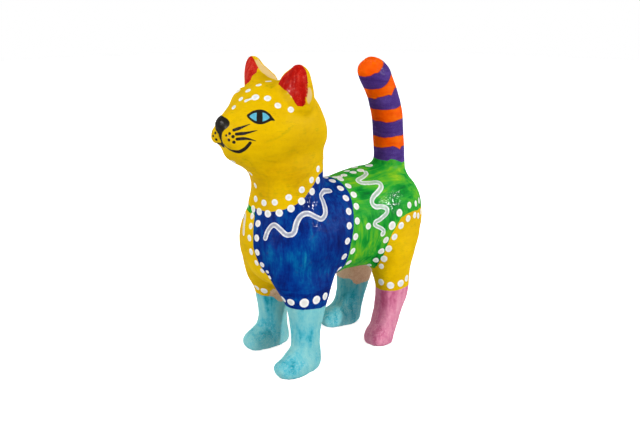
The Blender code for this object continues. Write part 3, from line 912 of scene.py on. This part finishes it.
class Shader:
    """Short names for the nodes of one material."""

    def __init__(self, name):
        self.material = bpy.data.materials.new(name)
        self.material.use_nodes = True
        self.tree = self.material.node_tree
        self.principled = self.tree.nodes["Principled BSDF"]
        self.place = self.node("ShaderNodeTexCoord").outputs["Object"]

    def node(self, kind, inputs=None, **settings):
        node = self.tree.nodes.new(kind)
        for name, value in settings.items():
            setattr(node, name, value)
        self.feed(node, inputs or {})
        return node

    def feed(self, node, inputs):
        """Links or sets a node's sockets, by name or number."""
        for name, value in inputs.items():
            if isinstance(value, bpy.types.NodeSocket):
                self.tree.links.new(value, node.inputs[name])
            elif value is not None:
                node.inputs[name].default_value = value

    def math(self, operation, *values, clamp=False):
        node = self.node("ShaderNodeMath", dict(enumerate(values)), operation=operation, use_clamp=clamp)
        return node.outputs[0]

    def times(self, a, b):
        return self.math("MULTIPLY", a, b)

    def centred(self, value):
        """A texture's value, moved to be about 0 on average."""
        return self.math("SUBTRACT", value, 0.5)

    def sum_of(self, *pairs):
        """Adds up values, each with its share."""
        total = 0.0
        for value, share in pairs:
            total = self.math("ADD", total, self.times(value, share))
        return total

    def held(self, name):
        """A field that the mesh holds."""
        return self.node("ShaderNodeAttribute", attribute_name=name).outputs["Fac"]

    def texture(self, size, detail, rough, stretch=(1, 1, 1), turn=(0, 0, 0), shift=0.0, distort=0.0):
        """Noise with lumps about this many millimetres wide, stretched along an axis."""
        mapping = self.node("ShaderNodeMapping", {
            "Vector": self.place,
            "Scale": [1 / (MM * size * s) for s in stretch],
            "Rotation": [math.radians(a) for a in turn],
            "Location": (shift, shift * 0.7, shift * 1.3),
        })
        return self.node("ShaderNodeTexNoise", {
            "Vector": mapping.outputs[0], "Scale": 1.0, "Detail": detail, "Roughness": rough,
            "Distortion": distort,
        }).outputs["Fac"]

    def span(self, value, low, high, to_low=0.0, to_high=1.0, smooth=True):
        return self.node("ShaderNodeMapRange", {
            "Value": value, "From Min": low, "From Max": high, "To Min": to_low, "To Max": to_high,
        }, interpolation_type="SMOOTHSTEP" if smooth else "LINEAR").outputs["Result"]

    def blend(self, share, a, b):
        """Goes from one value to another."""
        return self.span(share, 0.0, 1.0, a, b, smooth=False)

    def mix(self, share, a, b):
        """Goes from one colour to another. Sockets 6 and 7 are the two colours."""
        return self.node("ShaderNodeMix", {"Factor": share, 6: a, 7: b}, data_type="RGBA").outputs[2]

    def paint(self, name, value):
        """A paint's colour along a value."""
        node = self.node("ShaderNodeValToRGB", {"Fac": value})
        elements = node.color_ramp.elements
        while len(elements) < len(PAINTS[name]):
            elements.new(0.5)
        for element, (place, *colour) in zip(elements, PAINTS[name]):
            element.position = place
            element.color = srgb(*colour)
        return node.outputs["Color"]

    def bump(self, height, strength, depth, normal=None):
        """A relief this many millimetres deep, over the one that the normal carries."""
        return self.node("ShaderNodeBump", {
            "Strength": strength, "Distance": depth * MM, "Height": height, "Normal": normal,
        }).outputs[0]


class PaintedPaper(Shader):
    """The textures that the paints share, and the paints."""

    def __init__(self):
        super().__init__("painted_paper")
        self.height = self.node("ShaderNodeSeparateXYZ", {0: self.place}).outputs[2]
        self.ragged = self.texture(1.6, 3, 0.6)
        self.wander = self.texture(6, 2, 0.5, shift=3)
        self.grain = self.texture(0.7, 3, 0.65, shift=7)
        self.lumps = self.texture(2.4, 3, 0.55, shift=11)
        self.upright = self.texture(3.0, 4, 0.62, stretch=(1, 1, 5), shift=1, distort=0.5)
        self.level = self.texture(2.8, 4, 0.62, stretch=(5, 5, 1), shift=2, distort=0.5)
        self.broad = self.texture(5.5, 3, 0.6, stretch=(1, 1, 4), shift=4, distort=0.6)
        self.patches = self.texture(11, 2, 0.5, shift=5)
        self.clouds = self.texture(26, 2, 0.5, shift=9)
        # The coat's tone, which also carries painted shade and a painted sheen.
        self.tone_and_shade = self.held("tone_and_shade")

    def coat(self, name, wobble, drift=0.0, edge=0.14):
        """Where this coat of paint lies, with a ragged edge."""
        distance = self.sum_of((self.held(name), 1.0), (self.centred(self.ragged), wobble * 2))
        if drift:
            distance = self.sum_of((distance, 1.0), (self.centred(self.wander), drift * 2))
        return self.span(distance, -edge, edge)

    def paper(self):
        return self.paint("paper", self.sum_of(
            (self.grain, 0.4), (self.lumps, 0.3), (self.patches, 0.3), (self.tone_and_shade, 1.0)))

    def green(self):
        sloping = self.texture(3.2, 4, 0.62, (1, 6, 1.2), (28, 0, 0), 6, 0.5)
        strokes = self.blend(self.span(self.height, 0.096, 0.104), self.upright, sloping)
        return self.paint("green", self.sum_of((strokes, 0.6), (self.patches, 0.4), (self.tone_and_shade, 1.0)))

    def blue(self):
        strokes = self.blend(self.span(self.height, 0.056, 0.066), self.level, self.broad)
        bristles = self.texture(0.9, 3, 0.6, stretch=(1, 1, 9), shift=15, distort=0.3)
        strokes = self.sum_of((strokes, 0.5), (self.upright, 0.14), (bristles, 0.16), (self.lumps, 0.14),
                              (1.0, -0.03))
        blue = self.paint("blue", self.sum_of(
            (strokes, 1.3), (self.patches, 0.22), (self.tone_and_shade, 0.75), (1.0, -0.20)))
        violet = self.times(self.span(self.texture(4, 3, 0.6, shift=31), 0.58, 0.72),
                            self.span(self.patches, 0.45, 0.6, 0.0, 0.3))
        return self.mix(violet, blue, srgb(58, 30, 84))

    def yellow(self):
        yellow = self.paint("yellow", self.sum_of(
            (self.clouds, 0.5), (self.level, 0.3), (self.lumps, 0.2), (self.tone_and_shade, 1.0)))
        hairs = self.texture(1.3, 3, 0.55, (5, 5, 1), (16, -14, 0), 13, 2.4)
        yellow = self.mix(self.span(hairs, 0.56, 0.74, 0.0, 0.42), yellow, srgb(200, 150, 0))
        smudge = self.times(self.span(self.texture(9, 2, 0.5, shift=21), 0.55, 0.72),
                            self.span(hairs, 0.4, 0.6, 0.0, 0.3))
        yellow = self.mix(smudge, yellow, srgb(142, 136, 10))
        # Painted shade darkens the yellow along the creases.
        crease = self.sum_of((self.held("crease"), 1.0), (self.centred(self.ragged), 2.4))
        return self.mix(self.times(self.span(crease, -0.9, 0.7), 0.22), yellow, srgb(150, 124, 6))

    def socks(self):
        """Teal and pink, with pale specks that grow towards the soles."""
        teal = self.paint("teal", self.sum_of(
            (self.broad, 0.5), (self.upright, 0.2), (self.lumps, 0.2), (self.grain, 0.1), (self.tone_and_shade, 1.0)))
        pink = self.paint("pink", self.sum_of(
            (self.broad, 0.5), (self.upright, 0.25), (self.lumps, 0.25), (self.tone_and_shade, 1.0)))
        pale_toe_specks = self.times(self.span(self.texture(0.9, 3, 0.65, shift=23), 0.5, 0.68),
                            self.span(self.height, 0.03, 0.006, 0.0, 0.6))
        return (self.mix(pale_toe_specks, teal, srgb(176, 216, 218)), self.mix(pale_toe_specks, pink, srgb(236, 184, 200)))

    def tail_bands(self):
        """Purple and orange, with a dark seam where they meet."""
        purple = self.paint("purple", self.sum_of((self.level, 0.4), (self.patches, 0.3), (self.grain, 0.3)))
        orange = self.paint("orange", self.sum_of((self.level, 0.4), (self.patches, 0.4), (self.lumps, 0.2)))
        band = self.sum_of((self.held("band"), 1.0), (self.centred(self.wander), 1.0),
                           (self.centred(self.ragged), 0.6))
        bands = self.mix(self.span(band, -0.2, 0.2), purple, orange)
        seam = self.math("SUBTRACT", 1.0, self.math("ABSOLUTE", self.times(band, 1.6)), clamp=True)
        return self.mix(self.times(seam, 0.5), bands, srgb(112, 28, 44))

    def red(self):
        return self.paint("red", self.sum_of(
            (self.upright, 0.4), (self.lumps, 0.3), (self.grain, 0.3), (self.tone_and_shade, 1.0)))

    def white(self):
        """Thick white for the dots, washed white for the waves, and how thin the wash is."""
        ribbon = self.held("ribbon")
        streaked = self.sum_of((self.held("core"), 1.0), (self.centred(self.ragged), 0.8))
        washed = self.sum_of((self.held("core"), 0.55), (self.ragged, 0.4), (self.wander, 0.3))
        white = self.mix(self.span(ribbon, -0.6, 0.0), self.paint("dab", streaked),
                         self.paint("wash", washed))
        thin = self.times(self.span(ribbon, -0.2, 0.5), self.span(washed, 0.35, 0.9, 0.48, 0.0))
        return white, thin


def painted_material():
    s = PaintedPaper()
    yellow, blue = s.yellow(), s.blue()
    teal, pink = s.socks()
    covered = s.math("SUBTRACT", 1.0, s.coat("bare", 1.2, 1.5))
    colour = s.mix(covered, s.paper(), s.green())
    for name, paint in (("shoulder", yellow), ("blue", blue), ("thigh_left", yellow), ("thigh_right", blue)):
        colour = s.mix(s.times(s.coat(name, 0.35, 0.4), covered), colour, paint)
    black = s.paint("black", s.grain)
    iris = s.paint("iris", s.sum_of((s.lumps, 0.6), (s.grain, 0.4)))
    pale_strip = srgb(232, 204, 160)
    # Each coat over the last: its field, wobble, drift and edge, how much it hides, and its paint.
    for name, wobble, drift, edge, hides, paint in (
        ("sock_front_left", 0.4, 0.6, 0.14, 1, teal),
        ("sock_front_right", 0.6, 0.6, 0.14, 1, teal),
        ("sock_hind_left", 0.4, 0.6, 0.14, 1, pink),
        ("sock_hind_right", 1.6, 0.6, 0.14, 1, teal),
        ("head", 0.25, 0.3, 0.14, 1, yellow),
        ("tail", 0.5, 0.8, 0.14, 1, s.tail_bands()),
        ("gap", 0.5, 0.4, 0.5, 0.65, pale_strip),
        ("ear", 0.35, 0.3, 0.14, 1, s.red()),
        ("black", 0.14, 0.0, 0.1, 1, black),
        ("iris", 0.1, 0.0, 0.1, 1, iris),
    ):
        cover = s.coat(name, wobble, drift, edge)
        colour = s.mix(s.times(cover, hides) if hides < 1 else cover, colour, paint)
    white_mark = s.coat("white", 0.2, 0.14)
    white, thin = s.white()
    colour = s.mix(s.math("SUBTRACT", white_mark, thin), colour, white)

    painted = s.math("MAXIMUM", covered, white_mark)
    inked = s.coat("black", 0.1)
    rough = s.blend(painted, 0.85, s.sum_of((s.grain, 0.1), (inked, -0.25), (1.0, 0.58)))
    fine = s.bump(s.sum_of((s.grain, 0.6), (s.upright, 0.25), (s.level, 0.25)), 0.7, 0.2)
    coarse = s.bump(s.lumps, 0.6, 0.6, fine)
    relief = s.bump(white_mark, 0.6, 0.25, coarse)
    # Beads of varnish, in clusters.
    beads = s.span(s.texture(0.95, 1, 0.5, shift=17), 0.6, 0.66)
    beads = s.times(beads, s.span(s.held("varnish"), 0.1, 0.8, 0.06, 1.0))
    beads = s.math("MAXIMUM", beads, s.times(inked, 0.07))
    s.feed(s.principled, {
        "Base Color": colour, "Roughness": rough, "Specular IOR Level": 0.015, "Normal": relief,
        "Coat Weight": s.times(beads, painted), "Coat Roughness": 0.16, "Coat Normal": coarse,
    })
    return s.material


# ---------------------------------------------------------------- the piece

# Triangles get finer this near the borders of the face and of the white, and once more at the face's.
FACE_NEAR = 2.2
WHITE_NEAR = 1.5
FACE_EDGE = 0.8
# The paper's waves: how long, how high, and how much higher at the feet.
PAPER_WAVES = ((14, 0.3, 0), (5.5, 0.16, 0.12), (2.6, 0, 0.12))
FEET = (20, 45)
# The waves start over the soles, which stay flat.
WAVES_START = (0, 4)
WHITE_RISE = 0.12
CREASE_DEPTH = 0.08


def make_cat():
    points, tris = remeshed(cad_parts["cat"])
    points = padded(rounded(points, tris), tris)
    skin = Surface(points, tris)
    for face_near, white_near in ((FACE_NEAR, WHITE_NEAR), (FACE_EDGE, 0)):
        fields = face_fields(skin, points)
        face = np.maximum(fields["black"], fields["iris"])
        near = np.abs(face) < face_near
        if white_near:
            near |= (face > 0) | (np.abs(white_marks(skin, points)[0].inside) < white_near)
        points, tris = refined(points, tris, near)
    normals = normals_of(points, tris)
    white, ribbon = white_marks(skin, points)
    fields = zone_fields(points, normals)
    fields.update(face_fields(skin, points), white=white.inside, core=white.core, ribbon=ribbon,
                  crease=crease_field(skin, points))

    feet = 1 - step_between(*FEET, points[:, 2])
    rise = sum((height + more * feet) * wave(points, size, seed)
               for seed, (size, height, more) in enumerate(PAPER_WAVES, 1))
    rise *= step_between(*WAVES_START, points[:, 2])
    rise += WHITE_RISE * step_between(-0.4, 0.8, white.inside)
    rise -= CREASE_DEPTH * step_between(-1.6, 0.4, fields["crease"])
    points = points + normals * rise[:, None]
    points = np.clip(points, *(np.array(corner) / MM for corner in CAD_BOX))

    mesh = mesh_of("painted_cat", points, tris)
    for name, values in fields.items():
        attribute = mesh.attributes.new(name, "FLOAT", "POINT")
        attribute.data.foreach_set("value", np.asarray(values, np.float32))
    mesh.shade_smooth()
    mesh.materials.append(painted_material())
    cat = bpy.data.objects.new("painted_cat", mesh)
    bpy.context.scene.collection.objects.link(cat)
    print("painted_cat triangles", len(tris))
    return cat


# ---------------------------------------------------------------- studio

CAMERA_TURN = 53.0
CAMERA_RISE = 17.5
CAMERA_DISTANCE = 620
CAMERA_TARGET = (-4.1, 0, 94.7)
CAMERA_LENS = 50.57
# The studio is in metres, degrees and watts.
FLOOR_REACH = 1.6
FLOOR_SIDES = 96
FLOOR_GLOW = 0.7
# What comes back up from the floor, a little weaker than the floor looks.
BOUNCE = 0.6
BOUNCE_REACH = 1.2
BOUNCE_HEIGHT = 0.0004
AIM_HEIGHT = 0.1
# Name, turn, rise, distance, size and power of the lights that light the paint.
SOFTBOXES = (
    ("softbox_left", 5, 22, 1.3, (0.9, 0.8), 2.8),
    ("softbox_right", 101, 24, 1.3, (0.9, 0.8), 1.4),
    ("core_left", 5, 16, 1.28, (0.06, 0.06), 4.9),
    ("core_right", 98, 16, 1.28, (0.05, 0.05), 8.0),
    ("fill_top", 53, 80, 1.8, (2.4, 2.4), 18),
    ("fill_behind_left", 293, 30, 1.6, (1.6, 1.2), 9),
    ("fill_behind_right", 173, 30, 1.6, (1.6, 1.2), 9),
)
# The same of the lights that show only as highlights on the varnish.
GLINTS = (
    ("glint_left", 4, 14, 1.3, (0.6, 0.6), 44),
    ("glint_right", 130, 16, 1.3, (0.6, 0.6), 54),
)


def direction_of(turn, rise):
    turn, rise = math.radians(turn), math.radians(rise)
    return Vector((math.sin(turn) * math.cos(rise), -math.cos(turn) * math.cos(rise), math.sin(rise)))


def make_camera():
    data = bpy.data.cameras.new("camera")
    data.sensor_width = 36
    data.lens = CAMERA_LENS
    data.clip_start = 0.01
    data.clip_end = 50
    camera = bpy.data.objects.new("camera", data)
    back = direction_of(CAMERA_TURN, CAMERA_RISE)
    camera.location = (Vector(CAMERA_TARGET) + back * CAMERA_DISTANCE) * MM
    camera.rotation_euler = back.to_track_quat("Z", "Y").to_euler()
    bpy.context.scene.collection.objects.link(camera)
    bpy.context.scene.camera = camera


def make_light(name, shape, power, glossy=False, diffuse=True):
    """An area light. A glossy one shows as a highlight, and a diffuse one lights the paint."""
    data = bpy.data.lights.new(name, "AREA")
    data.shape = shape
    data.energy = power
    light = bpy.data.objects.new(name, data)
    light.visible_camera = False
    light.visible_glossy = glossy
    light.visible_diffuse = diffuse
    bpy.context.scene.collection.objects.link(light)
    return light


def make_softbox(name, turn, rise, distance, size, power, **shows):
    light = make_light(name, "RECTANGLE", power, **shows)
    light.data.size, light.data.size_y = size
    away = direction_of(turn, rise)
    light.location = Vector((0, 0, AIM_HEIGHT)) + away * distance
    light.rotation_euler = away.to_track_quat("Z", "Y").to_euler()


def make_bounce():
    """The light that comes back up from the floor."""
    light = make_light("floor_bounce", "DISK", BOUNCE * math.pi * math.pi * BOUNCE_REACH**2)
    light.data.size = 2 * BOUNCE_REACH
    light.location = (0, 0, BOUNCE_HEIGHT)
    light.rotation_euler = (math.pi, 0, 0)


def make_floor():
    mesh = bpy.data.meshes.new("floor")
    rim = [(FLOOR_REACH * math.cos(a), FLOOR_REACH * math.sin(a), 0)
           for a in np.linspace(0, 2 * math.pi, FLOOR_SIDES, endpoint=False)]
    mesh.from_pydata(rim, [], [tuple(range(FLOOR_SIDES))])
    floor = bpy.data.objects.new("floor", mesh)
    bpy.context.scene.collection.objects.link(floor)
    material = bpy.data.materials.new("pale_floor")
    material.use_nodes = True
    shader = material.node_tree.nodes["Principled BSDF"]
    shader.inputs["Base Color"].default_value = (0.86, 0.86, 0.86, 1)
    shader.inputs["Roughness"].default_value = 0.9
    shader.inputs["Specular IOR Level"].default_value = 0.1
    shader.inputs["Emission Color"].default_value = (1, 1, 1, 1)
    shader.inputs["Emission Strength"].default_value = FLOOR_GLOW
    mesh.materials.append(material)
    floor.visible_diffuse = False
    floor.visible_glossy = False


def make_studio():
    make_floor()
    make_bounce()
    for softbox in SOFTBOXES:
        make_softbox(*softbox)
    for glint in GLINTS:
        make_softbox(*glint, glossy=True, diffuse=False)
    world = bpy.data.worlds.new("studio")
    world.use_nodes = True
    background = world.node_tree.nodes["Background"]
    background.inputs["Color"].default_value = (1, 1, 1, 1)
    background.inputs["Strength"].default_value = 1.0
    world.cycles_visibility.diffuse = False
    bpy.context.scene.world = world
    bpy.context.scene.view_settings.view_transform = "Standard"


cat = make_cat()
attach(cat, "root")
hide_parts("cat")
make_studio()
make_camera()
